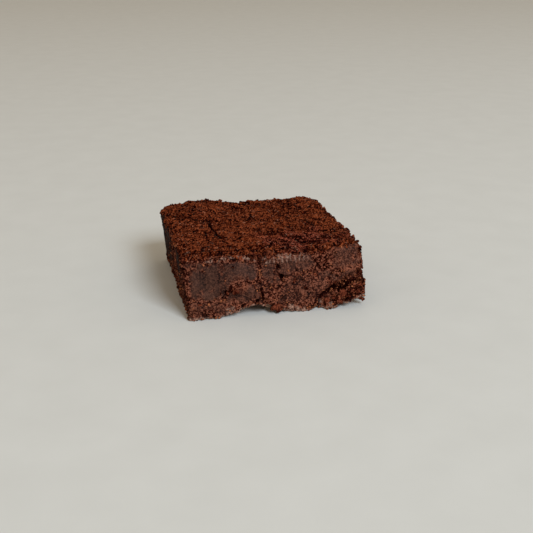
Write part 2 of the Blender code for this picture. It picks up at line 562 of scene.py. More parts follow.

# %% Ribs, pale flecks and painted highlights
RIB_PITCH = 1.6
RIB_ZONE = (4.5, 20.6, 8.5, 1.7)  # middle x and z, half width and half height
RIB_SOFTNESS = 1.6
PALE_FLECKS_AND_HIGHLIGHTS = (
    # x, z and radius of the lightest marks: the first three, under the crust's edge, are painted
    # highlights
    (-9.5, 21.6, 1.0),
    (-6.8, 20.6, 0.6),
    (-2.4, 19.4, 0.6),
    (-17.2, 2.9, 1.1),
    (-15.4, 3.6, 0.8),
    (6.2, 2.0, 1.2),
    (8.6, 1.7, 0.8),
    (11.2, 1.4, 0.6),
    (17.6, 2.6, 0.7),
    (21.2, 3.4, 0.5),
    (21.1, 2.5, 0.6),
    (21.3, 1.5, 0.6),
)


def rib_waves(points):
    """0.5 + 0.5 cos(2 pi x / RIB_PITCH) inside the ribs' zone, and 0 outside it."""
    x, _, z = np.moveaxis(warped(points, 2.0, 0.6, 90), -1, 0)
    waves = 0.5 + 0.5 * np.cos(2 * np.pi * (x + 0.4 * cloud(points, 3, 94)) / RIB_PITCH)
    return waves * box_mask(x, z, *RIB_ZONE, RIB_SOFTNESS)


ribs = at_front * rib_waves(side_points)
ragged = warped(side_points, 0.9, 0.5, 95)
# The first three flecks, under the crust's edge, are painted highlights.
flecks_and_highlights = at_front * np.clip(spots(ragged[:, 0], ragged[:, 2], PALE_FLECKS_AND_HIGHLIGHTS), 0, 1)
print("ribs:", int(2 * RIB_ZONE[2] / RIB_PITCH), "and pale flecks:", len(PALE_FLECKS_AND_HIGHLIGHTS))

# %% [markdown]
# ## Broken edges
# Cake crumbles first at its edges. How near an edge a point is comes from its place on the cube,
# and clouds of two sizes choose where a hollow is broken out. All three skins share the hollows.

# %% Chips
CHIP_REACH = 3.2


def edge_nearness(cube):
    """1 on an edge, 0 at CHIP_REACH from it: the second smallest distance to a side decides."""
    inside = (1 - np.abs(cube)) * np.array((*FOOT_SIZE, HEIGHT)) / 2
    return smooth_step(1 - np.sort(inside, axis=1)[:, 1] / CHIP_REACH)


def chips(points, cube):
    """What is broken off the edges in mm: nearness * (1.3 * a broad cloud's + 0.5 * a fine one's)."""
    broken = above(clouds(points, 4.2, 30), 0.1, 0.6)
    nibbled = above(clouds(points, 1.6, 33, 2), 0.1, 0.6)
    return edge_nearness(cube) * (1.3 * broken + 0.5 * nibbled)


side_chips = chips(side_points, side_cube)
print("deepest chip, mm:", round(float(side_chips.max()), 2))

# %% [markdown]
# ## The sides together
# Torn and smeared relief are mixed by the smears, then the marks and chips come off and the ribs
# and the pale foot line go on. Each could be a modifier, but one sum moves every point once. The
# rings that close the sides lie further in, under the crust and the base skin.

# %% The sides' relief
COVER_DEPTH = 0.9  # how far inside the closing rings lie
LOWEST = 0.05  # the sides stay this far above the surface they stand on

smear *= 1 - np.clip(marks / 0.5, 0, 1)
smear *= 1 - 0.8 * beside_tear
surface = (1 - smear) * torn * (1 + 0.3 * beside_tear) + smear * (dragged + 0.1)
above_foot = (1 + side_cube[:, 2]) * HEIGHT / 2
pale_foot = smooth_step(1.4 - above_foot / 0.9 + 0.6 * clouds(side_points, 1.3, 150, 2))
pale_foot *= smooth_step(0.9 + 1.2 * clouds(side_points, 5.0, 152, 2))
height = surface - marks + 0.4 * ribs + 0.3 * pale_foot - side_chips
covered = np.abs(side_cube[:, 2]) > 0.999
from_rim = 1 - np.abs(side_cube[:, :2]).max(axis=1)
height -= COVER_DEPTH * covered * smooth_step(from_rim / 0.03)

side_mesh = new_mesh("crumb_sides", side_points, side_faces)
side_out = outward_of(side_mesh)
side_points += side_out * height[:, None]
side_points[:, 2] = np.maximum(side_points[:, 2], LOWEST)
set_points(side_mesh, side_points)
print("sides' relief, mm, from and to:", np.round(np.percentile(height[~covered], (1, 99)), 2))

# %% [markdown]
# ## The sides' colours as masks
# Colour doesn't only follow depth. Crumb is browned just under the crust, and a pale line runs
# along the foot. A pale band under the crust's edge is a painted highlight. Some parts are made
# lighter and some darker, the one under the tear as painted shade, and the left side gets
# painted shade. Each is a mask, made here because the mesh knows how far away an edge is, and a
# shader doesn't.

# %% Browned, pale, lighter and darker parts, with painted highlights and shade
LIGHTER_PARTS_AND_SHADE = (
    # x, z, how much lighter and the spreads: a negative one is darker, and the one under the tear is
    # painted shade
    (25, 16, 0.2, 9, 8),
    (-26, 4, -0.08, 9, 5),
    (30, 6, -0.3, 5, 4),
)

x, _, z = side_points.T
below_crust = (1 - side_cube[:, 2]) * HEIGHT / 2
edge_line = 1.7 + 0.9 * cloud(side_points, 5, 158)
# Painted highlight: a ragged pale band just under the crust's edge on the front.
painted_edge_highlight = at_front * np.exp(-(((below_crust - edge_line) / 0.6) ** 2))
painted_edge_highlight *= 0.75 * smooth_step(-0.1 + 2.4 * clouds(side_points, 1.0, 154, 2))
painted_edge_highlight *= above(x, -27, 4) * above(-x, -15, 4)
# Lighter and darker parts. The darker one under the tear is painted shade.
lightness_and_shade = at_front * hills(x, z, LIGHTER_PARTS_AND_SHADE)
browned = smooth_step(1.1 - below_crust / 1.6 + 1.1 * clouds(side_points, 1.5, 96, 2))
tear_browned = 0.2 * beside_tear * smooth_step(0.5 + 2 * clouds(side_points, 2.2, 98, 2))
browned = np.maximum(browned * (1 - smear), tear_browned)
from_left = (1 + side_cube[:, 0]) * FOOT_SIZE[0] / 2
shaded = 0.45 * smooth_step(1.5 - from_left)  # painted shade on the left side, which faces away from the light
# Pale colour: the foot and the flecks by it are the skin's own. The ribs' crests, the band under the
# crust's edge and the flecks under it are painted highlights.
pale = np.clip(0.6 * flecks_and_highlights + 0.55 * ribs**3 + pale_foot + painted_edge_highlight, 0, 1)

# %% The sides' notes
note(
    side_mesh,
    smear=smear,
    streaks=evened(drag_lines(side_points), 0.25),
    # Depth picks the colour, darkest in the hollows as painted shade. The listed parts lighten some
    # places and darken others, under the tear as painted shade.
    depth=evened(surface + 0.4 * ribs, 0.14) + lightness_and_shade,
    # Pits darken the colour as painted shade: the torn pits, the seam, holes and crevice, and the left
    # side.
    pits=np.clip(0.8 * pits * (1 - smear) + marks / 0.9 + 0.35 * shaded, 0, 1),
    shaded=shaded,
    tone=tone,
    browned=browned,
    pale=pale * (1 - np.clip(marks, 0, 1)),
)

# %% [markdown]
# ## Lids over the top and the base
# The crust and the base skin are made alike: a lid on the cube, turned upside down for the base.
# Cut exactly at the edge, a lid would show a ruled seam. So its rim laps over the sides like a
# pie's, and ends tucked in behind their grains along a ragged line. A pole inside closes it.

# %% The grid of a lid
def lid_grid(cells_x, cells_y, rim_levels):
    """The cube's top as a grid, its rim as loops at rim_levels, and a pole inside that closes it."""
    across, back = np.linspace(-1, 1, cells_x + 1), np.linspace(-1, 1, cells_y + 1)
    y, x = np.meshgrid(back, across, indexing="ij")
    top = np.stack((x, y, np.ones_like(x)), axis=-1).reshape(-1, 3)
    number = np.arange(len(top)).reshape(y.shape)
    quads = np.stack((number[:-1, :-1], number[:-1, 1:], number[1:, 1:], number[1:, :-1]), -1)
    edge = np.concatenate((number[0, :-1], number[:-1, -1], number[-1, :0:-1], number[:0:-1, 0]))
    loops = [top[edge] + (0, 0, level - 1) for level in rim_levels]
    count = len(edge)
    numbers = [edge] + [len(top) + k * count + np.arange(count) for k in range(len(loops))]
    faces = [quads.reshape(-1, 4)]
    for upper, lower in zip(numbers[:-1], numbers[1:]):
        faces.append(np.stack((lower, np.roll(lower, -1), np.roll(upper, -1), upper), axis=-1))
    pole = len(top) + len(loops) * count
    faces.append(fan_faces(numbers[-1], pole, upward=False))
    return np.concatenate((top, *loops, ((0, 0, rim_levels[-1]),))), faces


# %% A lid's points
POLE_DEPTH = 2  # how far inside its skin a lid's pole lies


def lid_skin(name, cells, rim, side):
    """A lid over the crust (side 1) or the base (side -1): its mesh, cube, points, outward, rim.

    The last is 0 on the flat part, and (1 - |height on the cube|) / (1 - the rim's last level).
    """
    cube, faces = lid_grid(*cells, rim)
    cube = cube * (1, 1, side)
    faces = [group[:, ::side] for group in faces]  # listed backwards, a face looks the other way
    points = brownie_form(cube) - FORM_ORIGIN
    points[-1, 2] -= side * POLE_DEPTH
    mesh = new_mesh(name, points, faces)
    rim_share = np.clip((1 - np.abs(cube[:, 2])) / (1 - rim[-1]), 0, 1)
    return mesh, cube, points, outward_of(mesh), rim_share


CRUST_CELLS = (262, 250)
CRUST_RIM = (0.985, 0.965, 0.94, 0.91, 0.88, 0.85, 0.82, 0.79)
crust_mesh, crust_cube, crust_points, crust_out, rim_share = lid_skin("crust", CRUST_CELLS, CRUST_RIM, 1)
crust_x, crust_y, _ = crust_points.T
print("a crust cell, mm:", [round(s / c, 2) for s, c in zip(CRUST_SIZE, CRUST_CELLS)])

# %% [markdown]
# ## The browned crust
# The top dried and cracked finely as it baked. It is grainier than the crumb, warmer in colour,
# and it wrinkled aslant. A few pits and one long crack have their own places, and a cloud adds
# more pits. Near the front right corner the crust is rubbed open, and crumb shows.

# %% Relief of the crust
WRINKLE_TURN = np.radians(-38)
cosine, sine = np.cos(WRINKLE_TURN), np.sin(WRINKLE_TURN)
TURNED = np.array(((cosine, -sine, 0), (sine, cosine, 0), (0, 0, 1)))
DRAWN_OUT = (0.28, 1.3, 1)  # squeezed like this, a cloud becomes long wrinkles
CRACK = (
    # x and y
    (-17.9, 8.5),
    (-17.6, 4.5),
    (-18.0, 0.5),
    (-17.3, -4),
    (-17.3, -8),
    (-16.6, -11),
    (-16.2, -14),
)
CRACK_STRENGTH, CRACK_WIDTH = 1.4, 0.5
CRUST_PITS = ((-6.0, -24.8, 1.1), (-10.0, -30.5, 1.2), (13.0, -21.0, 0.8), (24.0, -13.0, 0.9))
PIT_DEPTH = 0.55


def crust_relief(points):
    """Height of the crust in mm, its pits and each grain's tone.

    It is three sizes of grains, wrinkles from a turned and drawn-out cloud, and a low swell, less
    PIT_DEPTH * pits, which are a cloud's highest places, the chosen spots and the crack's groove.
    """
    shaken = warped(points, 1.3, 0.45, 100)
    coarse, medium, fine, tone = grains_on_grains(shaken, (1.7, 0.95, 0.55), 101)
    wrinkles = clouds((warped(points, 6, 2, 118) @ TURNED) * DRAWN_OUT, 3.2, 113, 2)
    swells = clouds(points, 5, 122)
    height = 0.36 * coarse + 0.52 * medium + 0.36 * fine + 0.45 * wrinkles + 0.25 * swells - 1.05
    pits = above(clouds(shaken, 1.2, 116, 2), 0.45, 0.25)
    x, y, _ = np.moveaxis(warped(points, 1.5, 0.5, 120), -1, 0)
    crack = CRACK_STRENGTH * groove(x, y, CRACK, CRACK_WIDTH)
    pits = np.clip(pits + spots(x, y, CRUST_PITS) + crack, 0, 1.5)
    return height - PIT_DEPTH * pits, pits, tone


crust_height, crust_pits, crust_tone = crust_relief(crust_points)
print("crust relief, mm, from and to:", np.round(np.percentile(crust_height, (1, 99)), 2))

# %% Where the crust is rubbed open
OPENED_HILL = (13, -20, 17, 12)  # middle x and y, and the spreads
OPENED_PIT_DEPTH = 0.3

opened = hill(crust_x, crust_y, *OPENED_HILL)
opened = smooth_step(1.5 * opened - 0.35 + 0.7 * clouds(crust_points, 5, 130))
torn_open = clouds(warped(crust_points, 1.3, 0.45, 131), 1.0, 132, 2)
opened_pits = opened * above(torn_open, 0.25, 0.3)
crust_height -= OPENED_PIT_DEPTH * opened_pits
print("opened share of the crust:", round(float(opened.mean()), 2))

# %% The crust in place
CRUST_LIFT = 0.2  # keeps the crust above the sides' closing rings
CRUST_TUCK = 1.8  # how far the rim's end goes in

ragged_rim = 0.7 * clouds(crust_points, 1.9, 125, 2) + 0.45 * clouds(crust_points, 5, 127)
tuck = CRUST_TUCK * smooth_step(rim_share * 1.3 - 0.2 + ragged_rim * (rim_share > 0))
crust_total = crust_height + CRUST_LIFT - tuck - chips(crust_points, crust_cube)
crust_total[-1] = 0
crust_points += crust_out * crust_total[:, None]
set_points(crust_mesh, crust_points)
print("the crust's rim goes in by up to, mm:", round(float(tuck.max()), 2))

# %% The crust's notes
# Painted glints: pale spots on the crust, a few placed and more where a fine cloud is highest.
CRUST_PAINTED_GLINTS = ((-30.6, -10.8, 0.6), (-1.3, 1.5, 0.7), (-33.0, -31.5, 0.8), (-29.0, -18.5, 0.4))

ragged_x, ragged_y, _ = warped(crust_points, 0.8, 0.4, 134).T
painted_glints = spots(ragged_x, ragged_y, CRUST_PAINTED_GLINTS)
painted_glints += 0.7 * above(clouds(crust_points, 0.8, 137, 2), 0.62, 0.25)
note(
    crust_mesh,
    # Depth and pits darken the colour in hollows, pits and the crack: painted shade.
    depth=evened(crust_height + 0.12 * clouds(crust_points, 7, 139), 0.23),
    pits=0.7 * crust_pits + 0.4 * opened_pits + 0.05,
    tone=crust_tone,
    opened=opened,
    pale=np.clip(painted_glints, 0, 1),
)

# %% [markdown]
# ## The skin that lay on the tin
# The base is drier and paler than the crumb. It is nearly flat, with small blisters and a few
# pits, so low lumps and one cloud are enough. Nothing of it may go below the floor.

# %% The base skin
BASE_CELLS = (120, 118)
BASE_RIM = (0.985, 0.965, 0.945, 0.925, 0.905, 0.885)
BLISTER_HEIGHT = 0.16
BASE_PIT_DEPTH = 0.35
BASE_TUCK = 1.6

base_mesh, base_cube, base_points, base_out, base_rim = lid_skin("base_skin", BASE_CELLS, BASE_RIM, -1)
blisters, base_tone = lumps(warped(base_points, 2.0, 0.6, 140), 1.8, 141)
base_pits = above(clouds(base_points, 2.4, 145, 2), 0.35, 0.25)
base_height = BLISTER_HEIGHT * blisters - BLISTER_HEIGHT - BASE_PIT_DEPTH * base_pits
on_rim = base_rim > 0
ragged_rim = 0.5 * clouds(base_points, 2.6, 148, 2) * on_rim
base_height += 0.1 * on_rim - BASE_TUCK * smooth_step(1.3 * base_rim - 0.35 + ragged_rim)
base_height -= 0.7 * chips(base_points, base_cube)
base_height[-1] = 0
base_points += base_out * base_height[:, None]
base_points[:, 2] = np.maximum(base_points[:, 2], 0)
set_points(base_mesh, base_points)
# Depth and pits darken the colour in the base's hollows and pits: painted shade.
note(base_mesh, depth=evened(blisters, 0.2), pits=0.6 * base_pits, tone=base_tone)

# %% [markdown]
# ## Crumbs
# Crumbs cling where the knife broke the surface: thickest along the edges, some on the crust and
# the torn parts, few on the smears. A particle system could scatter them, but arrays can draw
# them by the masks above. Each is one small lump of a few dozen faces, squeezed, dented and
# turned by chance, and all of one kind are one mesh.

# %% One lump
def lump_shape(rings, sides):
    """A ball as unit points and faces: rings at even tilts between two poles."""
    tilt = np.pi * (np.arange(rings) + 1) / (rings + 1)
    turn = 2 * np.pi * np.arange(sides) / sides
    across = np.stack((np.cos(turn), np.sin(turn), 0 * turn), axis=-1)
    ring = np.sin(tilt)[:, None, None] * across - np.cos(tilt)[:, None, None] * (0, 0, 1)
    points = np.concatenate((ring.reshape(-1, 3), ((0, 0, -1), (0, 0, 1))))
    return points, closed_faces(rings, sides)


CRUMB_BALL = lump_shape(4, 7)
RUBBLE_BALL = lump_shape(6, 9)
CLOD_BALL = lump_shape(13, 20)
print("points of a crumb:", len(CRUMB_BALL[0]), "of rubble:", len(RUBBLE_BALL[0]))


# %% Many lumps as one mesh
SQUEEZE = (0.45, 1.25)  # a lump's half sizes, as shares of its radius
APART = 9  # each lump takes its dents from its own part of the clouds


def random_turns(rng, count):
    """A random rotation for each lump: the matrix of a unit quaternion w, x, y, z."""
    q = rng.normal(size=(count, 4))
    w, x, y, z = (q / np.linalg.norm(q, axis=1, keepdims=True)).T
    rows = (
        (1 - 2 * (y * y + z * z), 2 * (x * y - w * z), 2 * (x * z + w * y)),
        (2 * (x * y + w * z), 1 - 2 * (x * x + z * z), 2 * (y * z - w * x)),
        (2 * (x * z - w * y), 2 * (y * z + w * x), 1 - 2 * (x * x + y * y)),
    )
    return np.moveaxis(np.array(rows), -1, 0)


def scattered_lumps(name, places, outward, sizes, sunk, seed, ball, dents):
    """One mesh of lumps, each centred at place + outward * size * (1 - sunk).

    A lump's points are the ball's, squeezed, dented by a cloud, turned, and times its size.
    """
    rng = np.random.default_rng(seed)
    points, faces = ball
    count = len(places)
    own = points[None] * rng.uniform(*SQUEEZE, (count, 1, 3))
    apart = (own + APART * np.arange(count)[:, None, None]).reshape(-1, 3)
    own *= (1 + dents * clouds(apart, 0.9, seed, 3)).reshape(count, -1, 1)
    turned = np.einsum("cij,cpj->cpi", random_turns(rng, count), own)
    centres = places + outward * (sizes * (1 - sunk))[:, None]
    placed = centres[:, None] + turned * sizes[:, None, None]
    placed[..., 2] = np.maximum(placed[..., 2], 0)
    starts = (np.arange(count) * len(points))[:, None, None]
    all_faces = [(group[None] + starts).reshape(-1, group.shape[1]) for group in faces]
    mesh = new_mesh(name, placed.reshape(-1, 3), all_faces)
    note(mesh, tone=np.repeat(rng.uniform(0, 1, count), len(points)))
    return mesh


# %% Drawing crumbs by chance
SMALLEST_CRUMB = 0.12
CRUMBS_SUNK = 0.9
CRUMB_DENTS = 0.5
rng = np.random.default_rng(7)


def chosen_points(count, chance):
    """count point numbers, drawn with the given chance for each, with none twice."""
    return rng.choice(len(chance), size=count, replace=False, p=chance / chance.sum())


def clinging_crumbs(name, points, outward, chance, count, spread, seed):
    """Crumbs at points drawn by chance: their radius is SMALLEST_CRUMB + spread * random^3."""
    picked = chosen_points(count, chance)
    sizes = SMALLEST_CRUMB + spread * rng.uniform(0, 1, count) ** 3
    where = points[picked], outward[picked]
    return scattered_lumps(name, *where, sizes, CRUMBS_SUNK, seed, CRUMB_BALL, CRUMB_DENTS)


def heaped(points, seed):
    """Where crumbs heap up, 0 to 1: a wide cloud."""
    return smooth_step(0.35 + 1.6 * clouds(points, 4.5, seed, 2))


# %% Crumbs on the crust
crust_edge = above(np.abs(crust_cube[:, :2]).max(axis=1), 0.955, 0.045)
crust_chance = (0.03 + crust_edge * heaped(crust_points, 160)) * (1 - rim_share) ** 2
crust_chance[-1] = 0
crust_crumbs = clinging_crumbs(
    "crust_crumbs", crust_points, crust_out, crust_chance, count=1500, spread=0.55, seed=11
)

# %% Crumbs on the sides
side_edge = above(np.abs(side_cube[:, 2]), 0.86, 0.14)
side_chance = 0.12 + side_edge * heaped(side_points, 163) + 0.6 * beside_tear
side_chance *= (1 - 0.85 * smear) ** 2 * (1 - covered)
side_crumbs = clinging_crumbs(
    "side_crumbs", side_points, side_out, side_chance, count=1900, spread=0.5, seed=12
)

# %% [markdown]
# ## Rubble
# Larger bits gather in a few places: under the tear, by the seam's foot, at the crust's dip and
# along its right edge. Each could be placed by hand, but a chance that peaks there heaps them
# loosely and lets some fall beside.

# %% Where rubble gathers
FRONT_RUBBLE = (
    # x, z, spread and strength
    (-15.4, 10.6, 1.5, 1.0),
    (0.6, 2.2, 1.1, 5.0),
    (21.5, 4.4, 2.0, 0.5),
    (26.5, 6.0, 2.2, 0.6),
    (31.0, 8.2, 1.8, 0.8),
    (-6.0, 3.4, 1.0, 0.4),
    (-8.0, 22.0, 2.2, 0.7),
    (-2.0, 21.6, 1.6, 0.9),
)
LEFT_RUBBLE = ((-4.0, 7.5, 1.8, 1.0), (-13.0, 9.0, 1.5, 0.7), (20.0, 4.0, 3.0, 0.2))  # along y and z
CRUST_RUBBLE = (
    # x, y, spread and strength
    (32.1, -6.5, 1.0, 1.6),
    (32.3, -16.4, 1.4, 1.4),
    (33.0, -24.0, 1.4, 1.0),
    (-9.1, 33.6, 0.7, 1.6),
    (-31.0, -12.0, 1.2, 0.5),
    (-33.5, -31.0, 1.6, 0.8),
    (-4.0, -31.5, 2.8, 1.0),
)


def gathered(a, b, table):
    """How much likelier a bit is near each place: the sum of strength * hill."""
    return sum(k * hill(a, b, ca, cb, spread, spread) for ca, cb, spread, k in table)


on_left = side_cube[:, 0] < -0.999
x, y, z = side_points.T
side_chance = gathered(x, z, FRONT_RUBBLE) * at_front + gathered(y, z, LEFT_RUBBLE) * on_left
side_chance *= 1 - covered
crust_chance = gathered(crust_x, crust_y, CRUST_RUBBLE) * (1 - rim_share)
crust_chance[-1] = 0
print("likeliest on sides and crust:", np.round((side_chance.max(), crust_chance.max()), 2))

# %% The rubble
SIDE_BITS, CRUST_BITS = 130, 70

on_sides = chosen_points(SIDE_BITS, side_chance)
on_crust = chosen_points(CRUST_BITS, crust_chance)
rubble = scattered_lumps(
    "rubble",
    np.concatenate((side_points[on_sides], crust_points[on_crust])),
    np.concatenate((side_out[on_sides], crust_out[on_crust])),
    sizes=0.3 + 0.6 * rng.uniform(0, 1, SIDE_BITS + CRUST_BITS) ** 1.5,
    sunk=0.95,
    seed=13,
    ball=RUBBLE_BALL,
    dents=0.45,
)

# %% [markdown]
# ## Clods
# A few bits of crumb are large enough to be told apart: the heap under the tear, the ones that
# hang from the torn corner, and those that stand out from the edges. Chance would lose them, so
# each has its own place and size. The nearest point of the skin carries it, or the heap does.

# %% Places of the clods
CLODS_FRONT = (
    # x, z and radius
    (0.2, 2.4, 1.3),
    (1.5, 1.4, 1.0),
    (-0.7, 3.6, 0.8),
    (-15.9, 10.9, 1.2),
    (-14.4, 9.7, 1.1),
    (-16.9, 9.3, 0.8),
    (-13.6, 11.5, 0.7),
    (19.6, 3.6, 1.1),
    (22.2, 4.4, 1.3),
    (24.6, 3.0, 1.4),
    (25.6, 6.0, 1.3),
    (28.2, 4.4, 1.4),
    (28.9, 7.2, 1.3),
    (31.4, 6.0, 1.3),
    (31.8, 8.8, 1.4),
    (33.4, 10.2, 1.0),
    (33.2, 21.8, 0.8),
    (33.8, 19.6, 0.8),
    (33.9, 17.2, 0.7),
    (34.0, 14.8, 0.7),
    (33.8, 12.8, 0.8),
    (7.5, 12.0, 0.8),
    (11.8, 9.0, 0.9),
    (15.5, 13.6, 0.8),
    (-27.5, 6.0, 0.8),
)
CLODS_LEFT = (
    # y, z and radius
    (-1.0, 6.8, 1.3),
    (-4.2, 7.6, 1.1),
    (-6.4, 6.4, 0.8),
    (-13.0, 8.8, 1.1),
    (-15.2, 9.6, 0.8),
)
CLODS_CRUST = (
    # x, y and radius
    (32.6, -6.5, 1.4),
    (32.4, -8.6, 1.0),
    (32.9, -14.6, 1.1),
    (33.2, -16.8, 1.4),
    (33.4, -24.0, 1.3),
    (32.6, -27.4, 0.9),
    (30.6, 4.0, 0.9),
    (30.0, 17.0, 0.8),
    (-9.1, 33.9, 0.9),
    (-33.4, -31.0, 0.9),
    (-8.4, -31.8, 1.1),
    (-5.0, -32.0, 1.0),
    (-3.2, -31.2, 1.2),
    (-1.4, -31.8, 0.9),
    (-20.0, -31.6, 0.8),
    (9.0, -31.4, 0.8),
    (17.5, -31.0, 0.9),
)
CLODS_HANGING = (
    # x, y, z and radius of the heap that hangs from the torn corner, each lump on the next
    (29.4, -31.6, 3.6, 1.0),
    (30.6, -31.3, 3.8, 1.2),
    (31.8, -31.9, 4.4, 1.2),
    (33.2, -31.7, 4.6, 1.2),
    (32.2, -31.0, 3.4, 1.2),
    (33.4, -30.9, 3.5, 1.1),
    (32.9, -31.5, 2.6, 0.9),
    (33.8, -31.2, 2.3, 0.7),
)
ALL_CLODS = CLODS_FRONT + CLODS_LEFT + CLODS_CRUST + CLODS_HANGING
print("clods:", len(ALL_CLODS))

# %% The clods
CLODS_SUNK = (1.1, 0.75, 1.0)  # in a side, in the crust and in the hanging heap
TOO_FAR = 1000  # added for points that aren't allowed


def nearest_points(a, b, table, allowed):
    """For each place of a table of a, b and radius, the number of the nearest allowed point."""
    return [int(np.argmin(np.hypot(a - ca, b - cb) + TOO_FAR * ~allowed)) for ca, cb, _ in table]


front_face = (side_cube[:, 1] < -0.999) & ~covered
side_places = nearest_points(x, z, CLODS_FRONT, front_face)
side_places += nearest_points(y, z, CLODS_LEFT, on_left & ~covered)
crust_places = nearest_points(crust_x, crust_y, CLODS_CRUST, rim_share == 0)
hanging = np.array(CLODS_HANGING)[:, :3]
clods = scattered_lumps(
    "clods",
    np.concatenate((side_points[side_places], crust_points[crust_places], hanging)),
    np.concatenate((side_out[side_places], crust_out[crust_places], 0 * hanging + (0, -1, 0))),
    sizes=np.array([clod[-1] for clod in ALL_CLODS]),
    sunk=np.repeat(CLODS_SUNK, (len(side_places), len(crust_places), len(hanging))),
    seed=14,
    ball=CLOD_BALL,
    dents=0.5,
)

# %% [markdown]
# ## Finishes
# Dark cake looks right when its hollows are nearly black and its grains' tops are warm. That
# black is painted shade: the colour darkens with depth and pits. Two node groups serve every
# finish: one gives grain finer than the mesh holds, and one turns depth, pits and each grain's
# tone into a colour between three that the finish names. A plain noise texture would colour the
# grains at random. The mesh's notes make the colours follow the relief.

# %% Node helpers
def feed(tree, socket, value):
    """Links the socket from another one, or sets its own value."""
    if isinstance(value, bpy.types.NodeSocket):
        tree.links.new(value, socket)
    else:
        socket.default_value = value


def group_socket(group, name, in_out, kind, default=None):
    """Gives a node group a named input or output."""
    socket = group.interface.new_socket(name=name, in_out=in_out, socket_type=kind)
    if default is not None:
        socket.default_value = default


def add_node(tree, kind, **settings):
    """A new node with its settings."""
    node = tree.nodes.new(kind)
    for name, value in settings.items():
        setattr(node, name, value)
    return node


def maths(tree, operation, first, second, clamp=False):
    """A Math node of two sockets or numbers."""
    node = add_node(tree, "ShaderNodeMath", operation=operation, use_clamp=clamp)
    feed(tree, node.inputs[0], first)
    feed(tree, node.inputs[1], second)
    return node.outputs[0]


def centred(tree, value, share):
    """share * (value - 0.5)."""
    return maths(tree, "MULTIPLY", maths(tree, "SUBTRACT", value, 0.5), share)


def mixed(tree, share, first, second):
    """A Mix node for colours: first where share is 0, second where it is 1."""
    node = add_node(tree, "ShaderNodeMix", data_type="RGBA")
    for number, value in ((0, share), (6, first), (7, second)):
        feed(tree, node.inputs[number], value)
    return node.outputs[2]


# %% The grain group
def make_grain_group():
    """Grain finer than the mesh: 0.5 + Contrast * (0.36 c + 0.22 e + 1.2 n).

    c is a cell's own tone less 0.5, e is 0.5 less the distance to its middle, and n is noise less
    0.5. The noise also moves the place where the cells are read, by 1.6 grain sizes.
    """
    group = bpy.data.node_groups.new("fine grain", "ShaderNodeTree")
    group_socket(group, "Grain size", "INPUT", "NodeSocketFloat", 0.0005)
    group_socket(group, "Contrast", "INPUT", "NodeSocketFloat", 2.0)
    group_socket(group, "Value", "OUTPUT", "NodeSocketFloat")
    outside = add_node(group, "NodeGroupInput").outputs
    place = add_node(group, "ShaderNodeTexCoord").outputs["Object"]
    scale = maths(group, "DIVIDE", 1.0, outside["Grain size"])

    speckle = add_node(group, "ShaderNodeTexNoise")
    for name, value in (("Vector", place), ("Scale", scale), ("Detail", 4.0), ("Roughness", 0.75)):
        feed(group, speckle.inputs[name], value)
    shift = add_node(group, "ShaderNodeVectorMath", operation="SCALE")
    feed(group, shift.inputs[0], speckle.outputs["Color"])
    feed(group, shift.inputs["Scale"], maths(group, "MULTIPLY", outside["Grain size"], 1.6))
    moved = add_node(group, "ShaderNodeVectorMath", operation="ADD")
    feed(group, moved.inputs[0], place)
    feed(group, moved.inputs[1], shift.outputs[0])

    cells = add_node(group, "ShaderNodeTexVoronoi")
    feed(group, cells.inputs["Vector"], moved.outputs[0])
    feed(group, cells.inputs["Scale"], scale)
    cell_colour = add_node(group, "ShaderNodeSeparateColor")
    feed(group, cell_colour.inputs[0], cells.outputs["Color"])
    cell_tone = centred(group, cell_colour.outputs[0], 0.36)
    total = maths(group, "ADD", cell_tone, centred(group, cells.outputs["Distance"], -0.22))
    total = maths(group, "ADD", total, centred(group, speckle.outputs[0], 1.2))
    total = maths(group, "MULTIPLY", total, outside["Contrast"])
    value = maths(group, "ADD", total, 0.5, clamp=True)
    feed(group, add_node(group, "NodeGroupOutput").inputs["Value"], value)
    return group


GRAIN = make_grain_group()
print("fine grain:", len(GRAIN.nodes), "nodes")


# %% The colour group
def make_depth_group():
    """Three colours by level: Height + (Tone - 0.5) + (Grain - 0.5) - Pits.

    At level 0 it is Deep, at 0.5 Middle and at 1 Raised, with an even mix between them. Deep, the
    colour of hollows and pits, is painted shade.
    """
    group = bpy.data.node_groups.new("colour by depth", "ShaderNodeTree")
    for name in ("Deep", "Middle", "Raised"):
        group_socket(group, name, "INPUT", "NodeSocketColor", (0.1, 0.1, 0.1, 1))
    for name, value in (("Height", 0.5), ("Pits", 0.0), ("Tone", 0.5), ("Grain", 0.5)):
        group_socket(group, name, "INPUT", "NodeSocketFloat", value)
    group_socket(group, "Color", "OUTPUT", "NodeSocketColor")
    outside = add_node(group, "NodeGroupInput").outputs
    level = maths(group, "ADD", outside["Height"], centred(group, outside["Tone"], 1.0))
    level = maths(group, "ADD", level, centred(group, outside["Grain"], 1.0))
    level = maths(group, "SUBTRACT", level, outside["Pits"])
    lower = maths(group, "MULTIPLY", level, 2.0, clamp=True)
    upper = maths(group, "MULTIPLY", maths(group, "SUBTRACT", level, 0.5), 2.0, clamp=True)
    colour = mixed(group, lower, outside["Deep"], outside["Middle"])
    colour = mixed(group, upper, colour, outside["Raised"])
    feed(group, add_node(group, "NodeGroupOutput").inputs["Color"], colour)
    return group


DEPTH = make_depth_group()
print("colour by depth:", len(DEPTH.nodes), "nodes")


# %% Parts that the finishes share
def new_material(name):
    """A material, its node tree and its Principled shader."""
    material = bpy.data.materials.new(name)
    material.use_nodes = True
    tree = material.node_tree
    return material, tree, tree.nodes["Principled BSDF"]


def place_group(tree, group, **values):
    """The output of a node group placed in a material, with its inputs by name."""
    node = add_node(tree, "ShaderNodeGroup", node_tree=group)
    for name, value in values.items():
        feed(tree, node.inputs[name.replace("_", " ").capitalize()], value)
    return node.outputs[0]


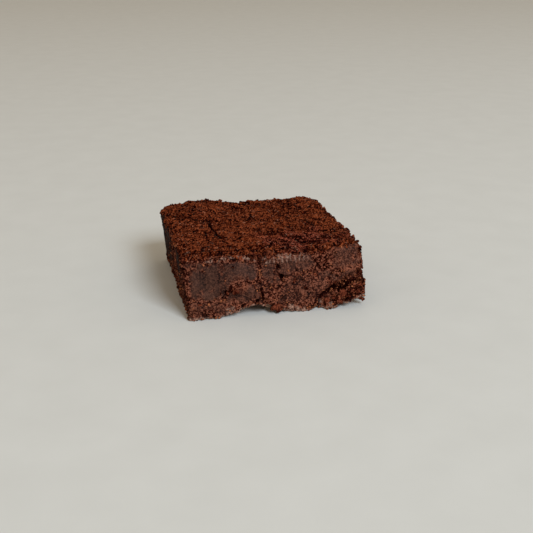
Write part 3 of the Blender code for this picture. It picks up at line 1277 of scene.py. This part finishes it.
def from_mesh(tree, name):
    """What the mesh noted under that name."""
    return add_node(tree, "ShaderNodeAttribute", attribute_name=name).outputs["Fac"]


def by_depth(tree, grain):
    """What the colour group reads from a skin's mesh, with the grain."""
    inputs = (("height", "depth"), ("pits", "pits"), ("tone", "tone"))
    return {"grain": grain, **{socket: from_mesh(tree, name) for socket, name in inputs}}


def three_shades(deep, middle, raised):
    """The colours of hollows, middle heights and grains' tops, from linear red, green and blue.

    The hollows' dark colour is painted shade.
    """
    return {"deep": (*deep, 1), "middle": (*middle, 1), "raised": (*raised, 1)}


def finish_skin(tree, shader, colour, roughness, shine, grain, bump):
    """Sets colour, roughness and shine, and raises the grain as a bump of up to 0.2 mm."""
    feed(tree, shader.inputs["Base Color"], colour)
    feed(tree, shader.inputs["Roughness"], roughness)
    shader.inputs["Specular IOR Level"].default_value = shine
    bumps = add_node(tree, "ShaderNodeBump")
    bumps.inputs["Distance"].default_value = 0.2 * MM
    bumps.inputs["Strength"].default_value = bump
    feed(tree, bumps.inputs["Height"], grain)
    feed(tree, shader.inputs["Normal"], bumps.outputs[0])


# %% [markdown]
# ## The cut crumb's finish
# Torn crumb is matt and reddish. Where the blade pressed it, fudge is greyer, streaked and a
# little glossy. Just under the crust the crumb is browned. Three materials on three meshes would
# show hard borders, so one material mixes them by the mesh's masks, and a rough coat adds gloss.

# %% The cut crumb's finish
TORN_CRUMB = three_shades((0.01, 0.0007, 0.0003), (0.08, 0.0152, 0.0072), (0.276, 0.091, 0.051))
BROWNED_CRUMB = three_shades((0.009, 0.0003, 0.0001), (0.07, 0.008, 0.0024), (0.24, 0.054, 0.022))
FUDGE_DARK, FUDGE_PALE = (0.008, 0.0015, 0.0006, 1), (0.115, 0.0435, 0.0265, 1)
# The pale colour of the flecks by the foot and of the painted highlights on the front.
FLECK_AND_HIGHLIGHT = (0.42, 0.245, 0.18, 1)


def cut_crumb():
    """Torn colour, mixed with fudge by smear, with browned crumb by browned, and with pale
    flecks and painted highlights.

    Fudge goes from dark to pale with (grain + streaks) / 2 - shaded, which is the left side's
    painted shade. The coat is smear * (0.2 - 2 * shaded), so the shaded smears have none.
    """
    material, tree, shader = new_material("cut crumb")
    grain = place_group(tree, GRAIN, grain_size=0.5 * MM, contrast=4.0)
    smeared, shaded = from_mesh(tree, "smear"), from_mesh(tree, "shaded")
    torn_colour = place_group(tree, DEPTH, **TORN_CRUMB, **by_depth(tree, grain))
    browned_colour = place_group(tree, DEPTH, **BROWNED_CRUMB, **by_depth(tree, grain))
    drawn = maths(tree, "MULTIPLY", maths(tree, "ADD", grain, from_mesh(tree, "streaks")), 0.5)
    # The left side's painted shade darkens its smears.
    drawn = maths(tree, "SUBTRACT", drawn, shaded, clamp=True)
    colour = mixed(tree, smeared, torn_colour, mixed(tree, drawn, FUDGE_DARK, FUDGE_PALE))
    colour = mixed(tree, from_mesh(tree, "browned"), colour, browned_colour)
    # Pale flecks and painted highlights: the pale mask times (grain + 0.3).
    fleck_and_highlight = maths(tree, "ADD", grain, 0.3)
    fleck_and_highlight = maths(tree, "MULTIPLY", from_mesh(tree, "pale"), fleck_and_highlight, clamp=True)
    colour = mixed(tree, fleck_and_highlight, colour, FLECK_AND_HIGHLIGHT)
    roughness = maths(tree, "SUBTRACT", 0.8, maths(tree, "MULTIPLY", smeared, 0.2))
    finish_skin(tree, shader, colour, roughness, shine=0.02, grain=grain, bump=0.7)
    coat = maths(tree, "SUBTRACT", 0.2, maths(tree, "MULTIPLY", shaded, 2.0))
    coat = maths(tree, "MULTIPLY", smeared, coat, clamp=True)
    feed(tree, shader.inputs["Coat Weight"], coat)
    shader.inputs["Coat Roughness"].default_value = 0.6
    return material


crumb_sides = add_piece(side_mesh, cut_crumb())
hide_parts("brownie")

# %% [markdown]
# ## The crust's and the base skin's finishes
# Baked crust is a warm brown with black pits, and a duller, more purple brown where it is rubbed
# open. The skin from the tin is dry and tan, palest on its blisters. Both are made as the crumb's
# finish is, with their own three colours.

# %% The crust's finish
CRUST_BROWN = three_shades((0.005, 0.0001, 0.0), (0.065, 0.005, 0.0005), (0.272, 0.061, 0.02))
CRUST_OPENED = three_shades((0.005, 0.0002, 0.0001), (0.07, 0.007, 0.0028), (0.31, 0.074, 0.04))
# The colour of the crust's painted glints.
GLINT_COLOUR = (0.4, 0.2, 0.13, 1)


def baked_crust():
    """Brown, mixed with the opened colour by opened, and with painted glints by pale times grain."""
    material, tree, shader = new_material("baked crust")
    grain = place_group(tree, GRAIN, grain_size=0.5 * MM, contrast=4.4)
    brown = place_group(tree, DEPTH, **CRUST_BROWN, **by_depth(tree, grain))
    crumb = place_group(tree, DEPTH, **CRUST_OPENED, **by_depth(tree, grain))
    colour = mixed(tree, from_mesh(tree, "opened"), brown, crumb)
    colour = mixed(tree, maths(tree, "MULTIPLY", from_mesh(tree, "pale"), grain), colour, GLINT_COLOUR)
    finish_skin(tree, shader, colour, roughness=0.82, shine=0.02, grain=grain, bump=0.8)
    return material


add_piece(crust_mesh, baked_crust())

# %% The base skin's finish
TIN_TAN = three_shades((0.03, 0.01, 0.005), (0.13, 0.055, 0.03), (0.3, 0.16, 0.095))


def tin_side():
    """Tan by depth, with a coarser and fainter grain, and the shine of a dry skin."""
    material, tree, shader = new_material("tin side")
    grain = place_group(tree, GRAIN, grain_size=0.7 * MM, contrast=2.0)
    colour = place_group(tree, DEPTH, **TIN_TAN, **by_depth(tree, grain))
    finish_skin(tree, shader, colour, roughness=0.75, shine=0.5, grain=grain, bump=0.6)
    return material


add_piece(base_mesh, tin_side())

# %% [markdown]
# ## The crumbs' finishes
# A crumb has no depths to speak of, so its colour comes from its own tone with grain over it.
# One material for all would do, but each kind takes after the skin that it fell from.

# %% The crumbs' finishes
LUMP_COLOURS = (
    (crust_crumbs, three_shades((0.009, 0.0003, 0.0001), (0.075, 0.01, 0.0024), (0.25, 0.062, 0.024))),
    (side_crumbs, three_shades((0.009, 0.0007, 0.0003), (0.075, 0.0145, 0.0065), (0.47, 0.155, 0.065))),
    (rubble, three_shades((0.009, 0.0005, 0.0002), (0.075, 0.0125, 0.005), (0.27, 0.075, 0.037))),
    # The clods are darker than the rubble, in part as painted shade for the heap under the tear.
    (clods, three_shades((0.006, 0.0004, 0.0002), (0.06, 0.0085, 0.0035), (0.23, 0.055, 0.026))),
)


def crumb_finish(name, colours):
    """The three colours by tone and grain alone."""
    material, tree, shader = new_material(name)
    grain = place_group(tree, GRAIN, grain_size=0.5 * MM, contrast=3.2)
    colour = place_group(tree, DEPTH, **colours, tone=from_mesh(tree, "tone"), grain=grain)
    finish_skin(tree, shader, colour, roughness=0.8, shine=0.03, grain=grain, bump=0.8)
    return material


for lump_mesh, colours in LUMP_COLOURS:
    add_piece(lump_mesh, crumb_finish(lump_mesh.name.replace("_", " "), colours))

# %% [markdown]
# ## The floor
# The brownie stands on pale paper. A flat sheet would end in a hard horizon, so far behind the
# brownie the paper rises all round in a wide bowl, as a photographer's backdrop does.

# %% The floor
FLAT_RADIUS = 1400
FLAT_RINGS = (900, 400, 150)
RISE_RADIUS = 4500
RISE_TURN = 36  # in degrees, the part of a circle that the paper rises along
RISE_RINGS = 19
FLOOR_POINTS = 96
PAPER_DARK, PAPER_LIGHT = (0.65, 0.64, 0.6, 1), (0.71, 0.7, 0.66, 1)


def paper():
    """Two off-whites mixed by a broad noise."""
    material, tree, shader = new_material("paper floor")
    noise = add_node(tree, "ShaderNodeTexNoise")
    noise.inputs["Scale"].default_value = 60.0
    noise.inputs["Detail"].default_value = 5.0
    feed(tree, noise.inputs["Vector"], add_node(tree, "ShaderNodeTexCoord").outputs["Object"])
    colour = mixed(tree, noise.outputs[0], PAPER_DARK, PAPER_LIGHT)
    feed(tree, shader.inputs["Base Color"], colour)
    shader.inputs["Roughness"].default_value = 0.9
    shader.inputs["Specular IOR Level"].default_value = 0.2
    return material


def paper_rings():
    """Circles of FLOOR_POINTS: from the bowl's rim down along an arc, then inwards on the flat."""
    turn = 2 * np.pi * np.arange(FLOOR_POINTS) / FLOOR_POINTS
    rise = np.radians(np.linspace(RISE_TURN, 0, RISE_RINGS))
    radius = np.concatenate((FLAT_RADIUS + RISE_RADIUS * np.sin(rise), FLAT_RINGS))
    level = np.concatenate((RISE_RADIUS * (1 - np.cos(rise)), np.zeros(len(FLAT_RINGS))))
    circle = np.stack((np.cos(turn), np.sin(turn), 0 * turn), axis=-1)
    points = radius[:, None, None] * circle + level[:, None, None] * (0, 0, 1)
    faces = [ring_faces(len(radius), FLOOR_POINTS)]
    last = len(radius) * FLOOR_POINTS
    faces.append(fan_faces(np.arange(last - FLOOR_POINTS, last), last, upward=True))
    return np.concatenate((points.reshape(-1, 3), ((0, 0, 0),))), faces


floor_mesh = new_mesh("floor", *paper_rings())
floor_mesh.materials.append(paper())
floor = bpy.data.objects.new("floor", floor_mesh)
bpy.context.scene.collection.objects.link(floor)
print("floor across, m:", round(floor.dimensions.x, 1))

# %% [markdown]
# ## Light and camera
# A dark, matt thing on pale paper needs one broad light from the front right, which draws the
# grains with small shadows, and a pale sky that keeps the shaded side readable.

# %% The window
MIDDLE = Vector((0, 0, 0.011))


def direction(azimuth, elevation):
    """A unit vector towards azimuth, turned from the front to the right, and elevation, in degrees."""
    a, e = np.radians((azimuth, elevation))
    return Vector((np.sin(a) * np.cos(e), -np.cos(a) * np.cos(e), np.sin(e)))


def soft_light(name, azimuth, elevation, distance, size, power, colour):
    """A square light at MIDDLE + direction * distance, aimed at the middle."""
    lamp = bpy.data.lights.new(name, "AREA")
    lamp.size = size
    lamp.energy = power
    lamp.color = colour
    light = bpy.data.objects.new(name, lamp)
    bpy.context.scene.collection.objects.link(light)
    light.location = MIDDLE + direction(azimuth, elevation) * distance
    light.rotation_euler = direction(azimuth, elevation).to_track_quat("Z", "Y").to_euler()
    print(name, "at, m:", [round(v, 2) for v in light.location])


soft_light(
    "window", azimuth=20, elevation=38, distance=2.4, size=0.96, power=47.5, colour=(0.78, 0.89, 1.0)
)

# %% The sky
SKY_COLOUR, SKY_STRENGTH = (1.0, 0.87, 0.7, 1), 0.46

world = bpy.data.worlds.new("studio")
world.use_nodes = True
world.node_tree.nodes["Background"].inputs["Color"].default_value = SKY_COLOUR
world.node_tree.nodes["Background"].inputs["Strength"].default_value = SKY_STRENGTH
bpy.context.scene.world = world
bpy.context.scene.view_settings.view_transform = "Standard"
print("sky:", SKY_COLOUR[:3], "times", SKY_STRENGTH)

# %% The camera
CAMERA_AZIMUTH, CAMERA_ELEVATION, CAMERA_DISTANCE = -11.46, 20.25, 0.355
AIM_RIGHT, AIM_DOWN = 0.00375, 0.0045  # the brownie stands left of and above the view's middle

camera = bpy.data.objects.new("camera", bpy.data.cameras.new("camera"))
bpy.context.scene.collection.objects.link(camera)
bpy.context.scene.camera = camera
camera.data.sensor_width = 36
camera.data.lens = 60.8
camera.data.clip_start = 0.01
towards = direction(CAMERA_AZIMUTH, CAMERA_ELEVATION)
camera.location = MIDDLE + towards * CAMERA_DISTANCE
facing = towards.to_track_quat("Z", "Y")
aim = MIDDLE + facing @ Vector((AIM_RIGHT, -AIM_DOWN, 0))
camera.rotation_euler = (camera.location - aim).to_track_quat("Z", "Y").to_euler()
print("camera at, m:", [round(v, 3) for v in camera.location])
